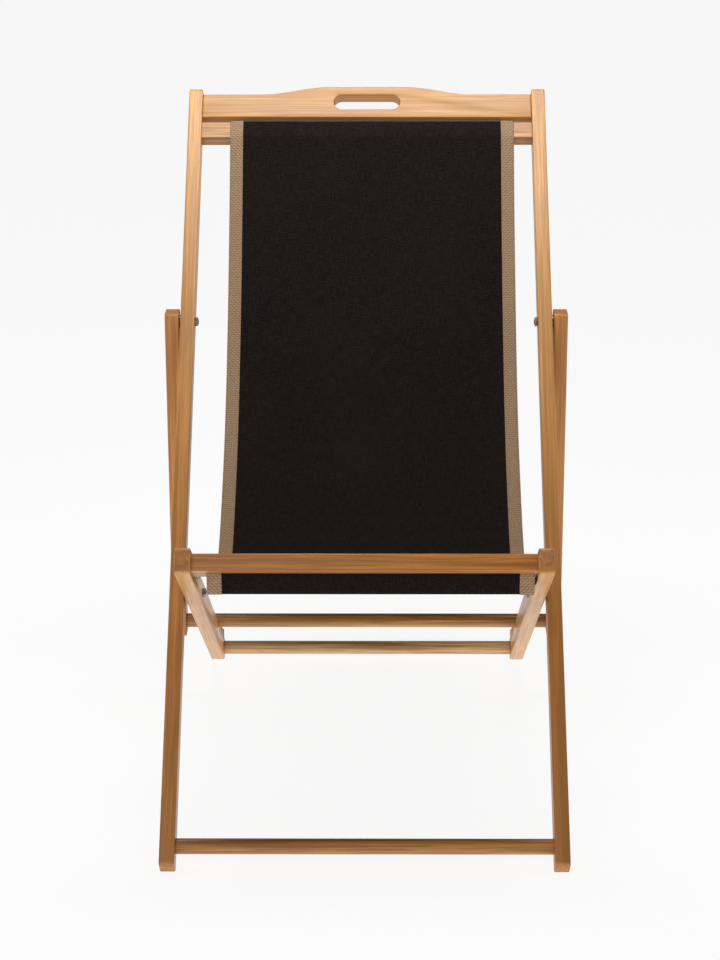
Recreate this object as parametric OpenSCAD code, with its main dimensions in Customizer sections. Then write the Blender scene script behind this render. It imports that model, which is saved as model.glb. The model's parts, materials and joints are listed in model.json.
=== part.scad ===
// Folding deck chair: three hinged timber frames and a canvas sling.
// +Z is up, the front of the seat faces -Y, and the origin is on the floor
// under the middle of the opened chair.

/* [Timber] */
// Thickness of the side members, across the chair
timber_t = 21; // [18:0.5:26]
// Depth of the side members, seen from the side
timber_d = 35; // [30:0.5:42]
// Rounding of the timber ends, seen from the side
end_round = 6; // [2:0.5:12]
// Diameter of the plain round rails
rail_dia = 21.5; // [18:0.5:23]

/* [Back frame] */
// Length of the back stiles
back_len = 1266; // [1200:1:1320]
// Width across the outer faces of the back stiles
back_width = 555; // [500:1:620]
// Lean of the back frame above the floor, degrees
back_angle = 44.4; // [43:0.1:46]
// From the foot of a back stile up to the seat pivot
seat_pivot_at = 409; // [400:1:420]
// From the foot of a back stile up to the prop pivot
prop_pivot_at = 854; // [840:1:870]
// Rise of the handle rail in its middle
handle_rise = 14; // [6:1:20]
// Length of the hand slot
slot_len = 103; // [80:1:130]

/* [Seat frame] */
// Slope of the seat frame above the floor, degrees
seat_angle = 31; // [29:0.1:33]
// From the seat pivot to the front ends of the seat stiles
seat_front_len = 256; // [240:1:280]
// Space between a back stile and a seat stile
seat_gap = 4; // [3:0.5:6]
// From the seat pivot to the first prop notch
notch_at = 363; // [358:1:368]
// Number of prop notches
notch_count = 4; // [3:1:4]
// Distance from one notch to the next
notch_pitch = 44; // [42:0.5:46]

/* [Prop frame] */
// Space between a back stile and a prop leg
prop_gap = 2.5; // [2:0.5:5]
// Timber above the prop pivot
prop_top = 16; // [12:1:24]
// Timber below the prop crossbar
prop_tail = 21; // [16:1:26]

/* [Sling] */
// Width of the sling with both bands
sling_width = 440; // [380:1:444]
// Width of each edge band
band_width = 20; // [12:1:30]
// Thickness of the canvas
cloth_t = 1.6; // [1.2:0.1:2]
// How far the sling lies to one side of the middle
sling_offset = 8; // [0:1:8]
// Height of the lowest part of the seat above the floor
sling_low = 318; // [312:1:340]

/* [Hidden] */
$fn = 64;

half_d = timber_d / 2;
// Half widths of the three frames: outer and inner faces of their side members
back_out = back_width / 2;
back_in = back_out - timber_t;
seat_out = back_in - seat_gap;
seat_in = seat_out - timber_t;
prop_in = back_out + prop_gap;
prop_out = prop_in + timber_t;

// Handle rail and the sling bar below it, measured up the back stile
rail_t = 21;
handle_low = back_len - 50;
handle_end = back_len - 7;
handle_top = handle_end + handle_rise;
rise_outer = 163;
rise_inner = 60;
rise_steps = 12;
slot_high = 27;
slot_at = handle_low + 28.5;
head_bar_high = 30;
slit = 9;
head_bar_at = handle_low - slit - head_bar_high;
foot_rail_at = 32;

// Front rail and its sling bar, measured forward of the seat pivot
front_rail_high = 23.5;
front_rail_front = seat_front_len - 12;
front_rail_deep = 21;
front_slit = 6;
front_bar_front = front_rail_front - front_rail_deep - front_slit;
front_bar_deep = 29;
rear_rail_in = 21;

// Joinery
tenon_len = 14;
tenon_t = 12;
tenon_dia = 14;
joint_gap = 0.05;
pin_r = 2;
pin_sunk = 0.3;
pin_past = 8;
pin_x = tenon_len / 2;

// Hinge hardware
bolt_r = 4;
bore_r = bolt_r + 0.06;
head_r = 8;
head_t = 3;
head_room = 0.4;
washer_r = 10;
play = 0.4;
nut_r = 7;
nut_t = 4.5;

// Feet are cut flat, this deep into the lowest corner
foot_flat = 4;

// The chair's fore and aft limits before it is centred on the origin
reach_front = (half_d - end_round) * sin(back_angle) - end_round * cos(back_angle) + end_round;
reach_back = handle_top * cos(back_angle) + rail_t / 2 * sin(back_angle);
back_y = (reach_front - reach_back) / 2;
back_z = half_d * cos(back_angle) - foot_flat;

// Points of the side view, as [y, z]: u runs along a member, v square to it
function along(origin, angle, u, v) =
    origin + u * [cos(angle), sin(angle)] + v * [-sin(angle), cos(angle)];
function back_pt(u, v = 0) = along([back_y, back_z], back_angle, u, v);
seat_pivot = back_pt(seat_pivot_at);
function seat_pt(u, v = 0) = along(seat_pivot, -seat_angle, u, v);
prop_pivot = back_pt(prop_pivot_at);

// The rear arm ends where its lower corner meets the floor
seat_rear_len = (seat_pivot[1] - half_d * cos(seat_angle) + foot_flat) / sin(seat_angle);

// Notches: the crossbar lies in round seats between round teeth, and leaves
// them up and forward
notch_play = 0.6;
notch_lean = 36;
notch_r = rail_dia / 2 + notch_play;
notch_v = half_d + 0.5;
tooth_r = notch_pitch / 2 - notch_r;
crossbar = seat_pt(notch_at, notch_v);
prop_reach = norm(crossbar - prop_pivot);
prop_angle = atan2(prop_pivot[1] - crossbar[1], crossbar[0] - prop_pivot[0]);

// Sling: centre line of the cloth in the side view. Its hems are sleeves round
// the two bars, and each one's tail ends against the cloth that it is sewn to.
lap = cloth_t / 2 + 0.5;
bar_round = 2;
corner_r = bar_round + lap;
seam_gap = 0.6;
function arc_pts(centre, r, from, to, steps = 6) =
    [for (i = [0 : steps]) centre + r * [cos(from + (to - from) * i / steps),
                                         sin(from + (to - from) * i / steps)]];
function bezier(a, b, c, d, steps = 14) =
    [for (i = [1 : steps - 1]) let (k = i / steps, j = 1 - k)
        j * j * j * a + 3 * j * j * k * b + 3 * j * k * k * c + k * k * k * d];
function heading(p, i) = let (a = p[max(i - 1, 0)], b = p[min(i + 1, len(p) - 1)]) (b - a) / norm(b - a);
function beside(p, off) = [for (i = [0 : len(p) - 1]) p[i] + off * [-heading(p, i)[1], heading(p, i)[0]]];
function reversed(p) = [for (i = [len(p) - 1 : -1 : 0]) p[i]];

// A left-hand bend from one direction to another, and the directions of the
// straight runs from a point to a bend and from a bend to a point
function bend(centre, from, to, r = corner_r) = arc_pts(centre, r, from - 90, to - 90);
function onto_bend(p, centre, r = corner_r) =
    atan2(centre[1] - p[1], centre[0] - p[0]) - asin(r / norm(centre - p));
function off_bend(centre, p, r = corner_r) =
    atan2(p[1] - centre[1], p[0] - centre[0]) + asin(r / norm(p - centre));

bar_top = head_bar_at + head_bar_high;
bar_face = rail_t / 2;
bar_in = bar_face - bar_round;
function head_corner(u, v) = back_pt(head_bar_at + u, v);
function front_corner(u, v) = seat_pt(-front_bar_front + u, v);
head_off = back_pt(head_bar_at + 2, bar_face + lap);
back_mid = [back_y + 518, 420];
back_mid_dir = [cos(34), sin(34)];
seat_low = [back_y + 265, sling_low];
front_lift = 50;
front_top = front_corner(front_bar_deep - bar_round, bar_in);
front_on = bend(front_top, 180 - front_lift, 180 - seat_angle)[0];

head_curve = bezier(head_off, head_off - 150 * [cos(back_angle + 20), sin(back_angle + 20)],
                    back_mid + 150 * back_mid_dir, back_mid);
front_curve = bezier(seat_low, seat_low - [70, 0],
                     front_on + 70 * [cos(front_lift), -sin(front_lift)], front_on, 12);
head_seam = beside(head_curve, cloth_t + seam_gap)[0];
front_seam = beside(front_curve, cloth_t + seam_gap)[7];

// The front sleeve is slack: it hangs straight down out of the slit
sleeve_drop = 27;
sleeve_r = 5;
front_low = front_corner(bar_round, -bar_in);
sleeve_turn = front_low + [sleeve_r - corner_r, -sleeve_drop];

sling_path = concat(
    [head_seam],
    bend(head_corner(bar_round, -bar_in), onto_bend(head_seam, head_corner(bar_round, -bar_in)), back_angle),
    bend(head_corner(head_bar_high - bar_round, -bar_in), back_angle, back_angle + 90),
    bend(head_corner(head_bar_high - bar_round, bar_in), back_angle + 90, back_angle + 180),
    [head_off], head_curve, [back_mid],
    bezier(back_mid, back_mid - 100 * back_mid_dir, seat_low + [95, 0], seat_low, 8),
    [seat_low], front_curve,
    bend(front_top, 180 - front_lift, 180 - seat_angle),
    bend(front_corner(bar_round, bar_in), 180 - seat_angle, 270 - seat_angle),
    bend(front_low, 270 - seat_angle, 270),
    bend(sleeve_turn, 270, 360 + off_bend(sleeve_turn, front_seam, sleeve_r), sleeve_r),
    [front_seam]);

wood_light = [0.87, 0.68, 0.42];
wood_mid = [0.78, 0.55, 0.30];
wood_deep = [0.66, 0.42, 0.22];
canvas_black = [0.10, 0.09, 0.09];
band_taupe = [0.62, 0.53, 0.43];
steel_dark = [0.32, 0.30, 0.28];

// Frames of reference: local y runs along the member and z square to it
module in_back() { translate([0, back_y, back_z]) rotate([back_angle, 0, 0]) children(); }
module in_seat() { translate([0, seat_pivot[0], seat_pivot[1]]) rotate([-seat_angle, 0, 0]) children(); }
module in_prop() { translate([0, prop_pivot[0], prop_pivot[1]]) rotate([-prop_angle, 0, 0]) children(); }

// Extrudes a side view (y, z) from x0 to x1
module across(x0, x1) { translate([x0, 0, 0]) rotate([90, 0, 90]) linear_extrude(x1 - x0) children(); }
module rod(x0, x1, r) { translate([x0, 0, 0]) rotate([0, 90, 0]) cylinder(h = x1 - x0, r = r); }
module both_sides() { for (m = [0, 1]) mirror([m, 0, 0]) children(); }
module above_floor() {
    difference() {
        children();
        translate([-back_width, -2 * back_len, -60]) cube([2 * back_width, 4 * back_len, 60]);
    }
}

// Side view of a member from u0 to u1, with rounded ends
module member(u0, u1, high = timber_d, r = end_round) {
    for (u = [u0 + r, u1 - r], v = [-high / 2 + r, high / 2 - r])
        translate([u, v]) circle(r);
    translate([u0, -high / 2 + r]) square([u1 - u0, high - 2 * r]);
    translate([u0 + r, -high / 2]) square([u1 - u0 - 2 * r, high]);
}

// Pieces of joinery, at the inner face of a side member
module flat_tenon(face, u, high, gap = 0) {
    translate([face - 1, u - high / 2 - gap, -tenon_t / 2 - gap])
        cube([tenon_len + 1 + gap, high + 2 * gap, tenon_t + 2 * gap]);
}
module round_tenon(face, gap = 0) { rod(face - 1, face + tenon_len + gap, tenon_dia / 2 + gap); }
// A pin goes in from the face on the given side, 1 or -1, and ends past the tenon
module pin_at(face, u, side, gap = 0) {
    translate([face + pin_x, u, 0]) mirror([0, 0, side < 0 ? 1 : 0])
        translate([0, 0, -pin_past - gap])
            cylinder(h = pin_past + half_d - pin_sunk + gap + (gap > 0 ? 1 : 0), r = pin_r + gap);
}

// Joints of each frame, as [distance along the member, width of a flat tenon or 0]
back_joints = [[slot_at - 6, 28], [head_bar_at + head_bar_high / 2, 20], [foot_rail_at, 0]];
seat_joints = [[-front_rail_front + front_rail_deep / 2, 12],
               [-front_bar_front + front_bar_deep / 2, 18],
               [seat_rear_len - rear_rail_in, 0]];
prop_joints = [[prop_reach, 0]];
// The faces that the pins go in from: the back of the back frame, the top of the others
back_pins = -1;
seat_pins = 1;
prop_pins = 1;

module tenons(face, joints, gap = 0) {
    for (j = joints)
        if (j[1] > 0) flat_tenon(face, j[0], j[1], gap);
        else translate([0, j[0], 0]) round_tenon(face, gap);
}
module pins(face, joints, side, gap = 0) {
    for (j = joints) pin_at(face, j[0], side, gap);
}

// ---- Back frame ----
module back_stile(side) {
    color(wood_light) above_floor() in_back() mirror([side < 0 ? 1 : 0, 0, 0]) difference() {
        across(back_in, back_out) member(0, back_len);
        tenons(back_in, back_joints, joint_gap);
        pins(back_in, back_joints, back_pins, joint_gap);
        translate([0, seat_pivot_at, 0]) {
            rod(back_in - 1, back_out + 1, bore_r);
            rod(back_out - head_t - head_room, back_out + 1, head_r + joint_gap);
        }
        translate([0, prop_pivot_at, 0]) rod(back_in - 1, back_out + 1, bore_r);
    }
}
module back_stile_left() { back_stile(-1); }
module back_stile_right() { back_stile(1); }

// Outline of the handle rail: level ends, a smooth rise and a level middle
function rise_at(x) = handle_rise * (1 - cos(180 * (rise_outer - x) / (rise_outer - rise_inner))) / 2;
module handle_rail() {
    half = [for (i = [0 : rise_steps])
            let (x = rise_outer - (rise_outer - rise_inner) * i / rise_steps) [x, handle_end + rise_at(x)]];
    mirrored = [for (i = [rise_steps : -1 : 0]) [-half[i][0], half[i][1]]];
    color(wood_light) in_back() difference() {
        union() {
            translate([0, 0, -rail_t / 2]) linear_extrude(rail_t) difference() {
                polygon(concat([[-back_in, handle_low], [back_in, handle_low], [back_in, handle_end]],
                               half, mirrored, [[-back_in, handle_end]]));
                for (x = [-1, 1]) translate([x * (slot_len - slot_high) / 2, slot_at]) circle(slot_high / 2);
                translate([-(slot_len - slot_high) / 2, slot_at - slot_high / 2])
                    square([slot_len - slot_high, slot_high]);
            }
            both_sides() tenons(back_in, [back_joints[0]]);
        }
        both_sides() pins(back_in, [back_joints[0]], back_pins, joint_gap);
    }
}
module head_sling_bar() {
    color(wood_light) in_back() difference() {
        union() {
            across(-back_in, back_in) translate([head_bar_at, 0])
                member(0, head_bar_high, rail_t, bar_round);
            both_sides() tenons(back_in, [back_joints[1]]);
        }
        both_sides() pins(back_in, [back_joints[1]], back_pins, joint_gap);
    }
}
module round_rail(face, joint, side) {
    difference() {
        union() {
            translate([0, joint[0], 0]) rod(-face, face, rail_dia / 2);
            both_sides() tenons(face, [joint]);
        }
        both_sides() pins(face, [joint], side, joint_gap);
    }
}
module foot_rail() { color(wood_mid) in_back() round_rail(back_in, back_joints[2], back_pins); }
module back_frame_pins() { color(steel_dark) in_back() both_sides() pins(back_in, back_joints, back_pins); }

// ---- Seat frame ----
module notches() {
    for (i = [0 : notch_count - 1]) translate([notch_at + i * notch_pitch, notch_v]) {
        circle(notch_r);
        rotate(notch_lean) translate([-notch_r, 0]) square([2 * notch_r, timber_d]);
    }
}
module teeth() {
    for (i = [0 : notch_count - 1])
        translate([notch_at + (i + 0.5) * notch_pitch, notch_v]) {
            circle(tooth_r);
            translate([-tooth_r, -half_d]) square([2 * tooth_r, half_d]);
        }
}
module seat_stile(side) {
    color(wood_mid) above_floor() in_seat() mirror([side < 0 ? 1 : 0, 0, 0]) difference() {
        across(seat_in, seat_out) difference() {
            union() {
                member(-seat_front_len, seat_rear_len);
                teeth();
            }
            notches();
        }
        tenons(seat_in, seat_joints, joint_gap);
        pins(seat_in, seat_joints, seat_pins, joint_gap);
        rod(seat_in - 1, seat_out + 1, bore_r);
    }
}
module seat_stile_left() { seat_stile(-1); }
module seat_stile_right() { seat_stile(1); }
module flat_bar(front, deep, high, joint) {
    difference() {
        union() {
            across(-seat_in, seat_in) member(-front, -front + deep, high, bar_round);
            both_sides() tenons(seat_in, [joint]);
        }
        both_sides() pins(seat_in, [joint], seat_pins, joint_gap);
    }
}
module front_rail() {
    color(wood_mid) in_seat() flat_bar(front_rail_front, front_rail_deep, front_rail_high, seat_joints[0]);
}
module front_sling_bar() {
    color(wood_mid) in_seat() flat_bar(front_bar_front, front_bar_deep, rail_t, seat_joints[1]);
}
module rear_rail() { color(wood_mid) in_seat() round_rail(seat_in, seat_joints[2], seat_pins); }
module seat_frame_pins() { color(steel_dark) in_seat() both_sides() pins(seat_in, seat_joints, seat_pins); }

// ---- Prop frame ----
module prop_leg(side) {
    color(wood_deep) in_prop() mirror([side < 0 ? 1 : 0, 0, 0]) difference() {
        across(prop_in, prop_out) member(-prop_top, prop_reach + prop_tail);
        tenons(prop_in, prop_joints, joint_gap);
        pins(prop_in, prop_joints, prop_pins, joint_gap);
        rod(prop_in - 1, prop_out + 1, bore_r);
        rod(prop_out - head_t - 2 * head_room, prop_out + 1, head_r + head_room);
    }
}
module prop_leg_left() { prop_leg(-1); }
module prop_leg_right() { prop_leg(1); }
module prop_crossbar() { color(wood_deep) in_prop() round_rail(prop_in, prop_joints[0], prop_pins); }
module prop_frame_pins() { color(steel_dark) in_prop() both_sides() pins(prop_in, prop_joints, prop_pins); }

// ---- Sling ----
module sling_strip(x0, x1) {
    across(x0, x1)
        polygon(concat(beside(sling_path, cloth_t / 2), reversed(beside(sling_path, -cloth_t / 2))));
}
sling_x = sling_offset - sling_width / 2;
module sling_canvas() {
    color(canvas_black) sling_strip(sling_x + band_width, sling_x + sling_width - band_width);
}
module sling_band_left() { color(band_taupe) sling_strip(sling_x, sling_x + band_width); }
module sling_band_right() {
    color(band_taupe) sling_strip(sling_x + sling_width - band_width, sling_x + sling_width);
}

// ---- Hinge hardware ----
module ring(x0, x1, r, hole) {
    difference() {
        rod(x0, x1, r);
        rod(x0 - 1, x1 + 1, hole);
    }
}
module hinge_bolt(inner, outer) {
    rod(inner, outer, bolt_r);
    rod(outer - head_t, outer, head_r);
}
module at_seat_pivot() { in_back() translate([0, seat_pivot_at, 0]) both_sides() children(); }
module at_prop_pivot() { in_back() translate([0, prop_pivot_at, 0]) both_sides() children(); }
module seat_pivot_bolts() {
    color(steel_dark) at_seat_pivot() hinge_bolt(seat_in - play - nut_t, back_out - head_room);
}
module seat_pivot_washers() {
    color(steel_dark) at_seat_pivot() ring(seat_out + play, back_in, washer_r, bore_r);
}
module seat_pivot_nuts() {
    color(steel_dark) at_seat_pivot() ring(seat_in - play - nut_t, seat_in - play, nut_r, bore_r);
}
module prop_pivot_bolts() {
    color(steel_dark) at_prop_pivot() hinge_bolt(back_in - nut_t, prop_out - head_room);
}
module prop_pivot_washers() {
    color(steel_dark) at_prop_pivot() ring(back_out, prop_in - play, washer_r, bore_r);
}
module prop_pivot_nuts() {
    color(steel_dark) at_prop_pivot() ring(back_in - nut_t, back_in, nut_r, bore_r);
}

back_stile_left();
back_stile_right();
handle_rail();
head_sling_bar();
foot_rail();
seat_stile_left();
seat_stile_right();
front_rail();
front_sling_bar();
rear_rail();
prop_leg_left();
prop_leg_right();
prop_crossbar();
sling_canvas();
sling_band_left();
sling_band_right();
seat_pivot_bolts();
seat_pivot_washers();
seat_pivot_nuts();
prop_pivot_bolts();
prop_pivot_washers();
prop_pivot_nuts();
back_frame_pins();
seat_frame_pins();
prop_frame_pins();
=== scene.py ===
import json
import math

import bmesh
import bpy
import numpy as np
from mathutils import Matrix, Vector


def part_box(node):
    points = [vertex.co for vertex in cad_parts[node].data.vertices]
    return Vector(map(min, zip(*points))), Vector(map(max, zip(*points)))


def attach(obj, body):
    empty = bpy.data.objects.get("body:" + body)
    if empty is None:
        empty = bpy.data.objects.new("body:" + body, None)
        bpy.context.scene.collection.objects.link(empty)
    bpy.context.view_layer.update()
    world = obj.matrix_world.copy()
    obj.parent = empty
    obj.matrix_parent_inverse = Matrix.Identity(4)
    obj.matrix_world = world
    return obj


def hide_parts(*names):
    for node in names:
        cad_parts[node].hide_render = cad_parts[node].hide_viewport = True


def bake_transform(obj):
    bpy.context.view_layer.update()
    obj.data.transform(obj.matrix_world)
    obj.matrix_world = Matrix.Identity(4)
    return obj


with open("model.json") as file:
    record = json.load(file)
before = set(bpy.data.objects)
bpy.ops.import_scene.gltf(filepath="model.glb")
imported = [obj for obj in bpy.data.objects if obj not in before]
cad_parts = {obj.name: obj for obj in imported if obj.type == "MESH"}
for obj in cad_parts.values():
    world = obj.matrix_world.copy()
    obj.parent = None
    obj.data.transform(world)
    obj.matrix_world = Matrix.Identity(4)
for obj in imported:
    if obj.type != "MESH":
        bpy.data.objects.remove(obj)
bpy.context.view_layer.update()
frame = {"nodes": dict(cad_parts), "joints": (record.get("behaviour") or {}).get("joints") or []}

# ---- Places, from the frame ----
PIVOT = {j["name"]: Vector(j["pos_m"]) for j in frame["joints"]}
SEAT_PIVOT = PIVOT["seat_fold"]
PROP_PIVOT = PIVOT["prop_swing"]


def middle(node):
    low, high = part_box(node)
    return (low + high) / 2


def slope(a, b):
    """Angle above the floor of the line from a to b, in the side view."""
    return math.atan2(b.z - a.z, b.y - a.y)


BACK_SLOPE = slope(SEAT_PIVOT, PROP_PIVOT)
SEAT_SLOPE = slope(SEAT_PIVOT, middle("rear_rail"))
PROP_SLOPE = slope(PROP_PIVOT, middle("prop_crossbar"))
BACK_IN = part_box("back_stile_right")[0].x
BACK_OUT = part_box("back_stile_right")[1].x
SEAT_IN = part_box("seat_stile_right")[0].x
SEAT_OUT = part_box("seat_stile_right")[1].x
PROP_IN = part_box("prop_leg_right")[0].x
PROP_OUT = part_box("prop_leg_right")[1].x

# ---- Sizes, metres ----
MERGE = 1e-6            # CAD corners nearer than this are one
FLAT = math.radians(0.5)    # CAD faces nearer to one plane than this are one
ON_PLANE = 1e-5         # what lies this near a plane is on it
EDGE = 0.0014           # rounding of the timber edges
EDGE_STEPS = 3
LONG_LOOP = 0.1         # an outline longer than this gets rounded edges, a bore doesn't
TENON_R = 0.007
SIDES = 64              # of everything turned round an axis
CLOTH = 0.0009          # canvas thickness
BAND = 0.0021           # thickness of the folded edge band round the canvas
BAND_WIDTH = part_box("sling_band_left")[1].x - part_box("sling_band_left")[0].x
STITCH = 0.0034         # length
STITCH_GAP = 0.0016
STITCH_R = 0.00028
STITCH_INSET = 0.0022   # from either edge of a band


# ---- Node graphs ----
def material(name):
    m = bpy.data.materials.new(name)
    m.use_nodes = True
    tree = m.node_tree
    return m, tree, tree.nodes["Principled BSDF"]


def node(tree, kind, inputs=(), **settings):
    n = tree.nodes.new(kind)
    for key, value in settings.items():
        setattr(n, key, value)
    for key, value in dict(inputs).items():
        if isinstance(value, bpy.types.NodeSocket):
            tree.links.new(value, n.inputs[key])
        else:
            n.inputs[key].default_value = value
    return n


def math_node(tree, operation, a, b):
    return node(tree, "ShaderNodeMath", {0: a, 1: b}, operation=operation).outputs[0]


def mix_colour(tree, factor, a, b, blend="MIX"):
    n = tree.nodes.new("ShaderNodeMix")
    n.data_type = "RGBA"
    n.blend_type = blend
    for socket, value in (("Factor_Float", factor), ("A_Color", a), ("B_Color", b)):
        target = next(s for s in n.inputs if s.identifier == socket)
        if isinstance(value, bpy.types.NodeSocket):
            tree.links.new(value, target)
        else:
            target.default_value = value if isinstance(value, float) else (*value, 1)
    return next(s for s in n.outputs if s.identifier == "Result_Color")


def ramp(tree, factor, stops):
    """A ramp through stops of (place, colour) or (place, level)."""
    n = node(tree, "ShaderNodeValToRGB", {0: factor})
    elements = n.color_ramp.elements
    while len(elements) < len(stops):
        elements.new(0.5)
    for element, (place, colour) in zip(elements, stops):
        element.position = place
        element.color = (*colour, 1) if hasattr(colour, "__len__") else (colour, colour, colour, 1)
    return n.outputs[0]


def noise(tree, vector, scale, detail, roughness, distortion=0.0):
    return node(tree, "ShaderNodeTexNoise", {"Vector": vector, "Scale": scale, "Detail": detail,
                                             "Roughness": roughness, "Distortion": distortion}).outputs[0]


def mapping(tree, vector, location=(0, 0, 0), rotation=(0, 0, 0), scale=(1, 1, 1)):
    return node(tree, "ShaderNodeMapping", {"Vector": vector, "Location": location,
                                            "Rotation": rotation, "Scale": scale}).outputs[0]


def stretched_noise(tree, vector, waves, detail, roughness=0.5, distortion=0.0, shift=(0, 0, 0)):
    """Noise with so many waves to the metre along each of its three axes."""
    return noise(tree, mapping(tree, vector, shift, scale=waves), 1.0, detail, roughness, distortion)


def overlay(tree, colour, mask, stops, tone):
    """The colour with a tone laid over it, by the share that the stops give for the mask's value."""
    return mix_colour(tree, ramp(tree, mask, stops), colour, tone)


def bump(tree, shader, height, strength, distance):
    n = node(tree, "ShaderNodeBump", {"Height": height, "Strength": strength, "Distance": distance})
    tree.links.new(n.outputs[0], shader.inputs["Normal"])


def shade(colour, factor):
    return tuple(c * factor for c in colour)


# ---- Wood ----
ALONG_X = None          # as a slope: the member lies across the chair
# Shares of a member's main tone
DARK = 0.46             # the dark streaks
DARK_GREEN = 0.84       # and what they keep of its green and blue besides, as they are redder
DARK_BLUE = 0.66
LIGHT = 1.34            # the palest figure
EDGE_HIGHLIGHT = 1.5       # painted highlight: the rounded edges paled, as if catching the light
EDGE_HIGHLIGHT_SHARE = 0.30      # how much of that shows


def grain_vector(tree, slope_angle, offset):
    """Coordinates with Y along the grain: a member slopes in the side view, or lies across the chair."""
    turn = (0, 0, math.pi / 2) if slope_angle is ALONG_X else (-slope_angle, 0, 0)
    place = node(tree, "ShaderNodeTexCoord").outputs["Object"]
    return mapping(tree, place, (0.37 * offset, 1.13 * offset, 0.71 * offset), turn)


def wood(name, tone, slope_angle, offset, streaks=1.0, painted_foot_shade=None):
    """Oiled straight-grained hardwood: broad figure, dark streaks, fine fibres and short pores.

    streaks is the strength of the dark streaks. The last argument paints shade on a member, darker and
    browner along its grain towards its foot where less light reaches: the brown end's gain, and the places
    in metres along the grain where it begins and where it is complete.
    """
    m, tree, shader = material(name)
    grain = grain_vector(tree, slope_angle, offset)
    wander = stretched_noise(tree, grain, (4, 3, 4), 1.0)
    figure = stretched_noise(tree, grain, (95, 2.6, 95), 4.0, 0.55, 0.7)
    streak = stretched_noise(tree, grain, (230, 4.5, 230), 3.0, 0.6, 0.5, (0.4, 0.1, 0.2))
    lines = stretched_noise(tree, grain, (420, 7, 420), 2.0, 0.5, 0.3, (0.2, 0.7, 0.5))
    fibres = stretched_noise(tree, grain, (900, 16, 900), 4.0, 0.6)
    pores = stretched_noise(tree, grain, (1500, 60, 1500), 2.0)
    red = (tone[0] * DARK, tone[1] * DARK * DARK_GREEN, tone[2] * DARK * DARK_BLUE)
    colour = ramp(tree, figure, [(0.38, shade(tone, 0.52)), (0.46, shade(tone, 0.86)),
                                 (0.53, shade(tone, 1.08)), (0.62, shade(tone, LIGHT))])
    for mask, stops, over in (
            (streak, [(0.37, 0.95 * streaks), (0.45, 0.35 * streaks), (0.51, 0.0)], red),
            (lines, [(0.36, 0.65), (0.50, 0.0)], shade(red, 1.1)),
            (fibres, [(0.36, 0.42), (0.60, 0.0)], shade(red, 1.15)),
            (pores, [(0.28, 0.5), (0.36, 0.0)], shade(red, 0.8)),
            (wander, [(0.36, 0.30), (0.60, 0.0)], shade(tone, 0.70))):
        colour = overlay(tree, colour, mask, stops, over)
    # Painted shade: the member darkens and browns along its grain, standing in for light falling off
    # towards its foot
    if painted_foot_shade:
        gain, start, end = painted_foot_shade
        along = node(tree, "ShaderNodeSeparateXYZ", {0: grain_vector(tree, slope_angle, 0)}).outputs["Y"]
        part = node(tree, "ShaderNodeMapRange",
                    {"Value": along, "From Min": start, "From Max": end}).outputs[0]
        colour = mix_colour(tree, part, colour, mix_colour(tree, 1.0, colour, gain, "MULTIPLY"))
    # Painted highlight: the rounded edges are paler, standing in for the light they catch
    eased = node(tree, "ShaderNodeAttribute", attribute_name=EASED).outputs["Fac"]
    colour = mix_colour(tree, math_node(tree, "MULTIPLY", eased, EDGE_HIGHLIGHT_SHARE), colour,
                        shade(tone, EDGE_HIGHLIGHT))
    tree.links.new(colour, shader.inputs["Base Color"])
    tree.links.new(ramp(tree, fibres, [(0.3, 0.50), (0.7, 0.34)]), shader.inputs["Roughness"])
    shader.inputs["Specular IOR Level"].default_value = 0.5
    shader.inputs["Coat Weight"].default_value = 0.2
    shader.inputs["Coat Roughness"].default_value = 0.28
    height = math_node(tree, "ADD", math_node(tree, "MULTIPLY", streak, 0.6),
                       math_node(tree, "ADD", fibres, math_node(tree, "MULTIPLY", pores, 0.5)))
    bump(tree, shader, height, 0.22, 0.0004)
    return m


def end_grain(name, tone, slope_angle, offset):
    """Sawn ends: blurred growth rings and blotches, with open pores."""
    tone = (tone[0] * 1.08, tone[1] * 0.96, tone[2] * 1.1)
    m, tree, shader = material(name)
    grain = grain_vector(tree, slope_angle, offset)
    rings = node(tree, "ShaderNodeTexWave",
                 {"Vector": mapping(tree, grain, (0.031, 0, 0.044), scale=(1, 0.02, 1)), "Scale": 34.0,
                  "Distortion": 9.0, "Detail": 4.0, "Detail Scale": 2.5, "Detail Roughness": 0.6},
                 wave_type="RINGS", rings_direction="Y").outputs["Fac"]
    blotch = stretched_noise(tree, grain, (120, 20, 120), 3.0, 0.6)
    pores = stretched_noise(tree, grain, (1400, 20, 1400), 3.0, 0.6)
    ring_share = math_node(tree, "MULTIPLY", rings, 0.35)
    colour = mix_colour(tree, ring_share, shade(tone, 0.95), shade(tone, 0.58))
    colour = overlay(tree, colour, blotch, [(0.40, 0.55), (0.60, 0.0)], shade(tone, 0.45))
    colour = overlay(tree, colour, pores, [(0.34, 0.6), (0.5, 0.0)], shade(tone, 0.42))
    tree.links.new(colour, shader.inputs["Base Color"])
    tree.links.new(ramp(tree, pores, [(0.3, 0.78), (0.7, 0.62)]), shader.inputs["Roughness"])
    bump(tree, shader, pores, 0.3, 0.0005)
    return m


# ---- Cloth and steel ----
THREADS = 0.314         # a wave texture of this scale has one band to the metre
THREAD_GAP = 0.35       # lifts the weave's hollows between two threads


def thread_wave(tree, flat, pitch, direction):
    """Rows of threads, one to each pitch in metres, over the cloth's own flat coordinates."""
    wave = node(tree, "ShaderNodeTexWave", {"Vector": flat, "Scale": THREADS / pitch, "Distortion": 0.25,
                                            "Detail": 1.0, "Detail Scale": 3.0},
                wave_type="BANDS", bands_direction=direction).outputs["Fac"]
    return math_node(tree, "ADD", wave, THREAD_GAP)


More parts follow.
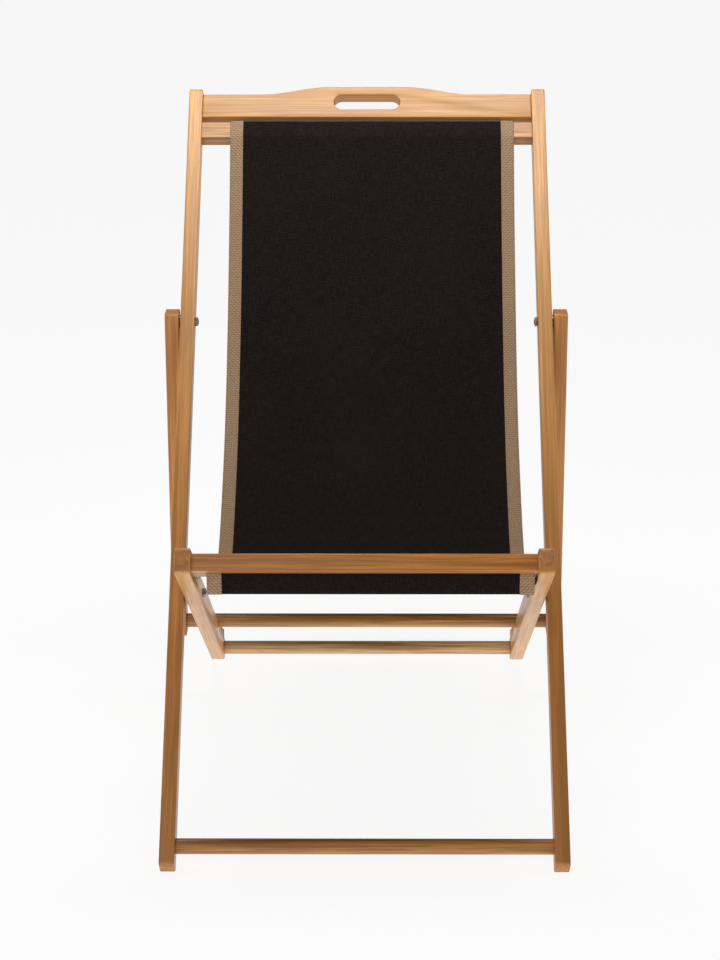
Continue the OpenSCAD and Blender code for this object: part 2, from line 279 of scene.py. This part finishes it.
def woven(name, tone, pitch, fleck, fleck_tone, directions, sheen, gloss):
    """Woven cloth over its own flat coordinates.

    pitch is the warp's thread spacing in metres, fleck the strength of the slubs and specks of
    fleck_tone, and directions are the ways in which warp and weft repeat.
    """
    m, tree, shader = material(name)
    flat = node(tree, "ShaderNodeTexCoord").outputs["UV"]
    warp = thread_wave(tree, flat, pitch, directions[0])
    weft = thread_wave(tree, flat, pitch * 1.25, directions[1])
    weave = math_node(tree, "MULTIPLY", warp, weft)
    slub_up = stretched_noise(tree, flat, (1400, 60, 1), 3.0, 0.6)
    slub_over = stretched_noise(tree, flat, (60, 1400, 1), 3.0, 0.6)
    slubs = math_node(tree, "MULTIPLY", math_node(tree, "ADD", slub_up, slub_over), 0.5)
    specks = stretched_noise(tree, flat, (520, 620, 1), 2.0, 0.6)
    wear = stretched_noise(tree, flat, (7, 5, 1), 3.0)
    # Painted shade and highlight: the weave's hollows are darkened and the crowns of its threads paled
    colour = ramp(tree, weave, [(0.1, shade(tone, 0.55)), (0.9, shade(tone, 1.2)),
                                (1.0, shade(tone, 1.45))])
    colour = overlay(tree, colour, slubs, [(0.42, 0.0), (0.66, fleck)], fleck_tone)
    colour = overlay(tree, colour, specks, [(0.55, 0.0), (0.68, fleck)], shade(fleck_tone, 1.3))
    colour = overlay(tree, colour, wear, [(0.4, 0.0), (0.7, 0.18)], shade(fleck_tone, 0.8))
    tree.links.new(colour, shader.inputs["Base Color"])
    tree.links.new(ramp(tree, slubs, [(0.3, 0.95), (0.7, 0.8)]), shader.inputs["Roughness"])
    shader.inputs["Specular IOR Level"].default_value = gloss
    shader.inputs["Sheen Weight"].default_value = sheen
    shader.inputs["Sheen Roughness"].default_value = 0.5
    height = math_node(tree, "ADD", weave, math_node(tree, "MULTIPLY", slubs, 0.9))
    bump(tree, shader, height, 0.5, 0.0004)
    return m


def thread():
    m, tree, shader = material("stitch_thread")
    place = node(tree, "ShaderNodeTexCoord").outputs["Object"]
    ply = stretched_noise(tree, place, (2500, 2500, 2500), 2.0)
    tree.links.new(ramp(tree, ply, [(0.3, (0.16, 0.12, 0.09)), (0.7, (0.34, 0.27, 0.20))]),
                   shader.inputs["Base Color"])
    tree.links.new(ramp(tree, ply, [(0.3, 0.8), (0.7, 0.6)]), shader.inputs["Roughness"])
    return m


def steel():
    m, tree, shader = material("dull_steel")
    place = node(tree, "ShaderNodeTexCoord").outputs["Object"]
    turned_marks = stretched_noise(tree, place, (2600, 300, 300), 3.0)
    stains = noise(tree, place, 240.0, 4.0, 0.6)
    colour = ramp(tree, stains, [(0.35, (0.26, 0.24, 0.22)), (0.6, (0.46, 0.44, 0.42))])
    tree.links.new(colour, shader.inputs["Base Color"])
    tree.links.new(ramp(tree, turned_marks, [(0.3, 0.5), (0.7, 0.32)]), shader.inputs["Roughness"])
    shader.inputs["Metallic"].default_value = 1.0
    bump(tree, shader, turned_marks, 0.15, 0.0002)
    return m


# ---- Mesh helpers ----
EASED = "eased"         # the attribute that is 1 on rounded timber edges
BROAD = 0.999           # a face whose normal has this share along an axis is square to it
ENDWISE = 0.85          # and one with this share along the grain shows end grain


def cad_mesh(name):
    """A CAD node's solid with its triangles joined into flat faces."""
    bm = bmesh.new()
    bm.from_mesh(frame["nodes"][name].data)
    bmesh.ops.remove_doubles(bm, verts=bm.verts, dist=MERGE)
    bmesh.ops.dissolve_limit(bm, angle_limit=FLAT, verts=bm.verts, edges=bm.edges)
    return bm


def add_piece(name, bm, materials, smooth_angle=35):
    """A new object with the mesh: smooth but for edges sharper than the angle in degrees."""
    mesh = bpy.data.meshes.new(name)
    bmesh.ops.recalc_face_normals(bm, faces=bm.faces)
    for face in bm.faces:
        face.smooth = True
    bm.to_mesh(mesh)
    bm.free()
    mesh.set_sharp_from_angle(angle=math.radians(smooth_angle))
    for m in materials:
        mesh.materials.append(m)
    piece = bpy.data.objects.new(name, mesh)
    bpy.context.scene.collection.objects.link(piece)
    return piece


def finish_piece(piece, body, nodes):
    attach(piece, body)
    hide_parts(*nodes)


def outline_edges(bm, normal):
    """The edges of the long outlines of a flat member's two broad faces."""
    places = [v.co.dot(normal) for v in bm.verts]
    found = []
    for level in (min(places), max(places)):
        broad = {f for f in bm.faces if abs(f.normal.dot(normal)) > BROAD
                 and abs(f.calc_center_median().dot(normal) - level) < ON_PLANE}
        rim = {e for e in bm.edges if sum(f in broad for f in e.link_faces) == 1}
        while rim:
            loop, grow = set(), [rim.pop()]
            while grow:
                edge = grow.pop()
                loop.add(edge)
                near = {e for v in edge.verts for e in v.link_edges if e in rim}
                rim -= near
                grow += near
            if sum(e.calc_length() for e in loop) > LONG_LOOP:
                found += loop
    return found


def timber(name, body, normal, slope_angle, tone, offset, streaks=1.0, painted_foot_shade=None):
    """A CAD member with its long edges rounded, and end grain on its sawn ends."""
    bm = cad_mesh(name)
    eased = bm.verts.layers.float.new(EASED)
    bevel = bmesh.ops.bevel(bm, geom=outline_edges(bm, normal), offset=EDGE, segments=EDGE_STEPS,
                            profile=0.5, affect="EDGES", clamp_overlap=False)
    for v in bevel["verts"]:
        v[eased] = 1.0
    along = Vector((1, 0, 0)) if slope_angle is ALONG_X else \
        Vector((0, math.cos(slope_angle), math.sin(slope_angle)))
    for face in bm.faces:
        if abs(face.normal.dot(along)) > ENDWISE:
            face.material_index = 1
    looks = [wood(name + "_wood", tone, slope_angle, offset, streaks, painted_foot_shade),
             end_grain(name + "_end_grain", tone, slope_angle, offset)]
    finish_piece(add_piece("timber_" + name, bm, looks), body, [name])


HEX = "hex"


def ring_verts(bm, centre, x, radius, shape=None):
    """A ring round the X axis. A hex ring's radius is to its corners."""
    verts = []
    for i in range(SIDES):
        turn = 2 * math.pi * i / SIDES
        r = radius
        if shape == HEX:
            r *= math.cos(math.pi / 6) / math.cos((turn % (math.pi / 3)) - math.pi / 6)
        verts.append(bm.verts.new((x, centre.y + r * math.cos(turn), centre.z + r * math.sin(turn))))
    return verts


def turn(bm, centre, profile, closed=False):
    """Sweeps a profile of (x, radius) or (x, radius, HEX) points round the X axis."""
    rings = [ring_verts(bm, centre, *point) for point in profile]
    pairs = list(zip(rings, rings[1:])) + ([(rings[-1], rings[0])] if closed else [])
    for a, b in pairs:
        for i in range(SIDES):
            j = (i + 1) % SIDES
            bm.faces.new((a[i], a[j], b[j], b[i]))
    if not closed:
        bm.faces.new(rings[0])
        bm.faces.new(rings[-1])


RAIL_STEPS = 40         # rings along a round rail
RAIL_RIM = 0.0006       # chamfer of its shoulders
RAIL_START = 0.004      # the first ring's distance from a shoulder
TENON_TIP = 0.9         # the tenon's end as a share of its radius
TENON_RIM = 0.001


def round_rail(name, body, face, tone, offset):
    """A turned rail with a shouldered tenon in each side member."""
    low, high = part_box(name)
    radius = (high.z - low.z) / 2
    half = [(high.x, TENON_R * TENON_TIP), (high.x - TENON_RIM, TENON_R), (face, TENON_R),
            (face, radius - RAIL_RIM), (face - RAIL_RIM, radius)]
    span = 2 * (face - RAIL_START)
    shaft = [(-span / 2 + span * i / RAIL_STEPS, radius) for i in range(RAIL_STEPS + 1)]
    bm = bmesh.new()
    turn(bm, middle(name), [(-x, r) for x, r in half] + shaft + half[::-1])
    looks = [wood(name + "_wood", tone, ALONG_X, offset)]
    finish_piece(add_piece("rail_" + name, bm, looks), body, [name])


# ---- Timber ----
ACROSS = Vector((1, 0, 0))
BACK_NORMAL = Vector((0, -math.sin(BACK_SLOPE), math.cos(BACK_SLOPE)))
PALE = (0.64, 0.308, 0.078)
HONEY = (0.64, 0.275, 0.058)
BROWN = (0.72, 0.275, 0.044)
# Painted light: a brighter copy of the pale wood for the rear rail, which sits in shade under the seat
REAR_RAIL_PAINTED_LIGHT = (0.86, 0.54, 0.24)
# Painted shade: the back stiles get darker and browner towards their feet, where less light reaches them:
# see wood
STILE_PAINTED_SHADE = ((0.76, 0.50, 0.30), 0.80, 0.0)

timber("back_stile_left", "back_frame", ACROSS, BACK_SLOPE, PALE, 1.0, painted_foot_shade=STILE_PAINTED_SHADE)
timber("back_stile_right", "back_frame", ACROSS, BACK_SLOPE, PALE, 2.3, painted_foot_shade=STILE_PAINTED_SHADE)
timber("handle_rail", "back_frame", BACK_NORMAL, ALONG_X, shade(PALE, 0.86), 3.1)
timber("seat_stile_left", "seat_frame", ACROSS, SEAT_SLOPE, PALE, 4.4)
timber("seat_stile_right", "seat_frame", ACROSS, SEAT_SLOPE, PALE, 5.2)
timber("prop_leg_left", "prop_frame", ACROSS, PROP_SLOPE, HONEY, 6.7, 1.2)
timber("prop_leg_right", "prop_frame", ACROSS, PROP_SLOPE, HONEY, 7.9, 1.2)
round_rail("foot_rail", "back_frame", BACK_IN, HONEY, 8.3)
round_rail("rear_rail", "seat_frame", SEAT_IN, REAR_RAIL_PAINTED_LIGHT, 9.6)
round_rail("prop_crossbar", "prop_frame", PROP_IN, PALE, 10.2)

for name, tone, offset in (("head_sling_bar", PALE, 11.5), ("front_rail", BROWN, 12.4),
                           ("front_sling_bar", PALE, 13.3)):
    bar = frame["nodes"][name]
    bar.data.materials.clear()
    bar.data.materials.append(wood(name + "_wood", tone, ALONG_X, offset))

# ---- Hardware ----
STEEL = steel()
BOLT_R = 0.004
BOLT_TIP = 0.001        # of the bolt, past its nut
HEAD_R = 0.008
HEAD_T = 0.003
SEAT_HEAD_RISE = 0.0012     # how far the domed heads stand proud
PROP_HEAD_RISE = 0.0008
WASHER_R = 0.010
WASHER_RIM = 0.0004
NUT_R = 0.007           # to its corners
NUT_T = 0.0045
NUT_RIM = 0.0006
CROWN = 0.86            # what a nut's chamfer or a head's dome leaves of the radius
PIN_RIM = 0.0004
PIN_RIM_ANGLE = 1.0     # radians between two faces at a pin's rim, at least
PLAY = 0.0004


def bolt_profile(inner, outer, rise):
    """Shank, a low domed head that stands a little proud, and a hex socket in it."""
    under = outer - HEAD_T
    shank = [(inner, BOLT_R * 0.85), (inner + 0.0005, BOLT_R), (under, BOLT_R)]
    dome = [(under + (HEAD_T + rise) * math.sin(a), HEAD_R * (CROWN + (1 - CROWN) * math.cos(a)))
            for a in (0.5, 1.0, 1.35)]
    socket = [(outer + rise * 1.06, 0.0030, HEX), (outer + rise * 0.9, 0.0027, HEX),
              (outer - 0.0012, 0.0026, HEX), (outer - 0.0014, 0.0008)]
    return shank + [(under, HEAD_R)] + dome + socket


def washer_profile(inner, outer):
    return [(inner, BOLT_R), (inner, WASHER_R - WASHER_RIM), (inner + WASHER_RIM, WASHER_R),
            (outer - WASHER_RIM, WASHER_R), (outer, WASHER_R - WASHER_RIM), (outer, BOLT_R)]


def nut_profile(inner, outer):
    return [(inner, BOLT_R), (inner, NUT_R * CROWN), (inner + NUT_RIM, NUT_R, HEX),
            (outer - NUT_RIM, NUT_R, HEX), (outer, NUT_R * CROWN), (outer, BOLT_R)]


def hardware(name, node_name, centre, profile, closed=False):
    """One kind of fastener at both ends of a pivot. A closed profile leaves a bore."""
    bm = bmesh.new()
    for side in (profile, [(-x, *rest) for x, *rest in profile]):
        turn(bm, centre, side, closed)
    finish_piece(add_piece(name, bm, [STEEL], 28), "back_frame", [node_name])


def pins(body):
    """Pin ends as the CAD node has them, with their rims rounded."""
    bm = cad_mesh(body + "_pins")
    rims = [e for e in bm.edges if len(e.link_faces) == 2 and e.calc_face_angle() > PIN_RIM_ANGLE]
    bmesh.ops.bevel(bm, geom=rims, offset=PIN_RIM, segments=2, profile=0.5, affect="EDGES")
    finish_piece(add_piece(body + "_joint_pins", bm, [STEEL]), body, [body + "_pins"])


for joint, pivot, bolt, washer, nut in (
        ("seat", SEAT_PIVOT,
         bolt_profile(SEAT_IN - PLAY - NUT_T - BOLT_TIP, BACK_OUT - PLAY, SEAT_HEAD_RISE),
         washer_profile(SEAT_OUT + PLAY, BACK_IN),
         nut_profile(SEAT_IN - PLAY - NUT_T, SEAT_IN - PLAY)),
        ("prop", PROP_PIVOT,
         bolt_profile(BACK_IN - NUT_T - BOLT_TIP, PROP_OUT - PLAY, PROP_HEAD_RISE),
         washer_profile(BACK_OUT, PROP_IN - PLAY),
         nut_profile(BACK_IN - NUT_T, BACK_IN))):
    hardware(joint + "_bolts", joint + "_pivot_bolts", pivot, bolt)
    hardware(joint + "_washers", joint + "_pivot_washers", pivot, washer, closed=True)
    hardware(joint + "_nuts", joint + "_pivot_nuts", pivot, nut, closed=True)
for body in ("back_frame", "seat_frame", "prop_frame"):
    pins(body)


# ---- Sling ----
def sling_line():
    """The cloth's centre line in the side view, from the CAD strip's outline: head hem first."""
    bm = bmesh.new()
    bm.from_mesh(frame["nodes"]["sling_canvas"].data)
    bmesh.ops.remove_doubles(bm, verts=bm.verts, dist=MERGE)
    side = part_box("sling_canvas")[0].x
    inside = {f for f in bm.faces if all(abs(v.co.x - side) < ON_PLANE for v in f.verts)}
    rim = [e for e in bm.edges if sum(f in inside for f in e.link_faces) == 1]
    neighbours = {}
    for edge in rim:
        a, b = edge.verts
        neighbours.setdefault(a, []).append(b)
        neighbours.setdefault(b, []).append(a)
    start = rim[0].verts[0]
    walk = [start, neighbours[start][0]]
    while True:
        a, b = neighbours[walk[-1]]
        step = b if a is walk[-2] else a
        if step is start:
            break
        walk.append(step)
    points = np.array([(v.co.y, v.co.z) for v in walk])
    bm.free()
    first = next(i for i in range(len(points)) if cap_here(points, i)) + 1
    points = np.roll(points, -first, axis=0)
    half = len(points) // 2
    line = (points[:half] + points[half:][::-1]) / 2
    return line if line[0, 1] > line[-1, 1] else line[::-1]


def cap_here(points, i):
    """Whether the edge from point i to the next is one of the strip's two square ends."""
    count = len(points)
    a, b = points[i], points[(i + 1) % count]
    before, after = points[i - 1], points[(i + 2) % count]
    step = (b - a) / np.linalg.norm(b - a)
    inward = (a - before) / np.linalg.norm(a - before)
    outward = (after - b) / np.linalg.norm(after - b)
    return abs(step @ inward) < 0.5 and abs(step @ outward) < 0.5 and inward @ outward < -0.5


def resample(line, spacing):
    """The line in even steps of about the spacing, and the distance along it at each point."""
    steps = np.linalg.norm(np.diff(line, axis=0), axis=1)
    run = np.concatenate([[0], np.cumsum(steps)])
    count = int(round(run[-1] / spacing))
    at = np.linspace(0, run[-1], count + 1)
    return np.column_stack([np.interp(at, run, line[:, k]) for k in (0, 1)]), at


LINE_STEP = 0.004
LINE, RUN = resample(sling_line(), LINE_STEP)
TANGENT = np.gradient(LINE, axis=0)
TANGENT /= np.linalg.norm(TANGENT, axis=1)[:, None]
NORMAL = np.column_stack([-TANGENT[:, 1], TANGENT[:, 0]])
LENGTH = RUN[-1]
SLING_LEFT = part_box("sling_band_left")[0].x
SLING_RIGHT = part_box("sling_band_right")[1].x
SLING_MIDDLE = (SLING_LEFT + SLING_RIGHT) / 2
SLING_HALF = (SLING_RIGHT - SLING_LEFT) / 2
# The cloth hangs free of the timber but for this length at either end, and eases into its slack
HELD = 0.17
EASE = 0.12
SLACK = 0.0022
RIPPLE = 0.0007
DRIFT = 0.0005


def sag(x, s):
    """How far the slack cloth stands off its centre line: the middle hangs lower than the taut edges."""
    free = min(max((s - HELD) / EASE, 0), 1) * min(max((LENGTH - HELD - s) / EASE, 0), 1)
    across = (x - SLING_MIDDLE) / SLING_HALF
    crown = -SLACK * (1 - across ** 2)
    ripple = RIPPLE * math.sin(5.1 * s * math.pi + 2.3 * across) * across ** 4
    drift = DRIFT * math.sin(2.2 * s * math.pi + 4.0 * across)
    return free * (crown + ripple + drift)


def sling_point(x, i, lift):
    y, z = LINE[i] + NORMAL[i] * (lift - sag(x, RUN[i]))
    return x, y, z


def strip(section, uv_at):
    """A solid strip along the sling.

    section is a loop of (x, lift) points. uv_at gives their places across the flat sheet, and at its end
    the place where the loop closes.
    """
    bm = bmesh.new()
    layer = bm.loops.layers.uv.verify()
    grid = [[bm.verts.new(sling_point(x, i, lift)) for x, lift in section] for i in range(len(LINE))]
    count = len(section)
    for r in range(len(grid) - 1):
        for c in range(count):
            d = (c + 1) % count
            face = bm.faces.new((grid[r][c], grid[r][d], grid[r + 1][d], grid[r + 1][c]))
            places = ((uv_at[c], r), (uv_at[c + 1], r), (uv_at[c + 1], r + 1), (uv_at[c], r + 1))
            for loop, (u, row) in zip(face.loops, places):
                loop[layer].uv = (u, RUN[row])
    bm.faces.new(grid[0])
    bm.faces.new(grid[-1])
    return bm


def hang(piece, nodes):
    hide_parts(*nodes)
    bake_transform(piece)


CANVAS = woven("black_canvas", (0.0048, 0.0033, 0.0028), 0.0011, 0.80, (0.030, 0.021, 0.018), ("X", "Y"),
               sheen=0.05, gloss=0.05)
TAUPE = woven("taupe_webbing", (0.31, 0.198, 0.112), 0.0030, 0.6, (0.50, 0.35, 0.23), ("DIAGONAL", "Y"),
              sheen=0.0, gloss=0.15)

CANVAS_COLUMNS = 90
canvas_low = SLING_LEFT + BAND / 2
canvas_high = SLING_RIGHT - BAND / 2
xs = [canvas_low + (canvas_high - canvas_low) * c / CANVAS_COLUMNS for c in range(CANVAS_COLUMNS + 1)]
loop_xs = xs + xs[::-1]
lifts = [CLOTH / 2] * len(xs) + [-CLOTH / 2] * len(xs)
bm = strip(list(zip(loop_xs, lifts)), [x - SLING_LEFT for x in loop_xs + xs[:1]])
canvas = add_piece("canvas", bm, [CANVAS])
hang(canvas, ["sling_canvas"])


def band_section(outer, side):
    """Folded webbing round the canvas edge: two flat faces, a round fold outside and eased inner edges."""
    half = BAND / 2
    top = [(outer + side * half * (1 - math.cos(a)), half * math.sin(a)) for a in
           [math.pi * k / 12 for k in range(7)]]
    inner = outer + side * BAND_WIDTH
    flat = [(outer + side * (half + (BAND_WIDTH - half - 0.001) * k / 5), half) for k in range(1, 6)]
    edge = [(inner - side * 0.0004, half * 0.92), (inner, half * 0.6)]
    upper = top + flat + edge
    return upper + [(x, -lift) for x, lift in upper[:0:-1]]


for name, node_name, outer, side in (("band_left", "sling_band_left", SLING_LEFT, 1),
                                     ("band_right", "sling_band_right", SLING_RIGHT, -1)):
    section = band_section(outer, side)
    uv_run = [0.0]
    for (x0, l0), (x1, l1) in zip(section, section[1:] + section[:1]):
        uv_run.append(uv_run[-1] + math.hypot(x1 - x0, l1 - l0))
    bm = strip(section, uv_run)
    hang(add_piece(name, bm, [TAUPE]), [node_name])

def stitch_ring(bm, x, lift, s, sunk):
    """The four corners of a thread at s along the sling, sunk by so many of its radii into the band."""
    i = min(int(np.searchsorted(RUN, s)), len(RUN) - 1)
    j = max(i - 1, 0)
    part = (s - RUN[j]) / max(RUN[i] - RUN[j], 1e-9)
    at = Vector(sling_point(x, j, lift)).lerp(Vector(sling_point(x, i, lift)), part)
    out = Vector((0, *NORMAL[i])) * math.copysign(1, lift)
    at -= out * STITCH_R * sunk
    side_way = Vector((1, 0, 0)) * STITCH_R
    return [bm.verts.new(at + side_way), bm.verts.new(at + out * STITCH_R),
            bm.verts.new(at - side_way), bm.verts.new(at - out * STITCH_R)]


# Two rows of stitches hold each band, on both of its faces
bm = bmesh.new()
pitch = STITCH + STITCH_GAP
rows = [(outer + side * inset, lift) for outer, side in ((SLING_LEFT, 1), (SLING_RIGHT, -1))
        for inset in (STITCH_INSET, BAND_WIDTH - STITCH_INSET) for lift in (BAND / 2, -BAND / 2)]
for x, lift in rows:
    for k in range(int(LENGTH / pitch)):
        rings = [stitch_ring(bm, x, lift, s, sunk) for s, sunk in
                 ((k * pitch, 1.0), (k * pitch + STITCH * 0.5, -0.4), (k * pitch + STITCH, 1.0))]
        for a, b in zip(rings, rings[1:]):
            for c in range(4):
                d = (c + 1) % 4
                bm.faces.new((a[c], a[d], b[d], b[c]))
        bm.faces.new(rings[0])
        bm.faces.new(rings[-1])
stitches = add_piece("band_stitches", bm, [thread()], 60)
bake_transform(stitches)

# ---- Floor, light and camera ----
FLOOR = 30.0            # half its width, metres
FLOOR_GLOW = 0.905      # the floor's own light, so that it stays as pale as the horizon
SHADOW_TONE = 0.14      # what it reflects, which is what a shadow takes away
# A pale horizon under a darker ceiling, like the walls of a photo studio
HORIZON = 0.94
CEILING = 0.13

floor_mesh = bpy.data.meshes.new("floor")
floor_mesh.from_pydata([(-FLOOR, -FLOOR, 0), (FLOOR, -FLOOR, 0), (FLOOR, FLOOR, 0), (-FLOOR, FLOOR, 0)], [],
                       [(0, 1, 2, 3)])
floor = bpy.data.objects.new("floor", floor_mesh)
bpy.context.scene.collection.objects.link(floor)
floor_look, tree, shader = material("studio_floor")
shader.inputs["Base Color"].default_value = (SHADOW_TONE, SHADOW_TONE, SHADOW_TONE, 1)
shader.inputs["Roughness"].default_value = 0.9
shader.inputs["Specular IOR Level"].default_value = 0.0
shader.inputs["Emission Color"].default_value = (1, 1, 1, 1)
shader.inputs["Emission Strength"].default_value = FLOOR_GLOW
floor_mesh.materials.append(floor_look)

world = bpy.data.worlds.new("studio")
world.use_nodes = True
tree = world.node_tree
place = node(tree, "ShaderNodeTexCoord").outputs["Generated"]
height = node(tree, "ShaderNodeSeparateXYZ", {0: place}).outputs["Z"]
tree.links.new(ramp(tree, height, [(0.0, HORIZON), (0.04, HORIZON), (0.35, CEILING), (1.0, CEILING)]),
               tree.nodes["Background"].inputs[0])
bpy.context.scene.world = world
bpy.context.scene.view_settings.view_transform = "Standard"


def softbox(name, place, target, width, height, power):
    """A rectangular light of so many watts, turned to the target."""
    light = bpy.data.lights.new(name, "AREA")
    light.shape = "RECTANGLE"
    light.size = width
    light.size_y = height
    light.energy = power
    lamp = bpy.data.objects.new(name, light)
    lamp.location = place
    lamp.rotation_euler = (Vector(target) - Vector(place)).to_track_quat("-Z", "Y").to_euler()
    bpy.context.scene.collection.objects.link(lamp)


softbox("overhead", place=(0, 0.32, 1.95), target=(0, 0.30, 0.0), width=1.3, height=0.5, power=15)
softbox("front", place=(-0.9, -2.6, 2.4), target=(0, 0.1, 0.6), width=1.2, height=1.0, power=12)

LENS = 97.5             # mm, on a frame this wide:
FRAME_WIDTH = 36
EYE = (0.0195, -3.6063, 1.6436)
LOOK_DOWN = 18.9        # degrees below the horizon
ROLL = 0.11
HEADING = 0.41          # degrees to the left of straight ahead
camera = bpy.data.objects.new("camera", bpy.data.cameras.new("camera"))
camera.data.lens = LENS
camera.data.sensor_width = FRAME_WIDTH
camera.location = EYE
camera.rotation_euler = (math.radians(90 - LOOK_DOWN), math.radians(ROLL), math.radians(HEADING))
bpy.context.scene.collection.objects.link(camera)
bpy.context.scene.camera = camera
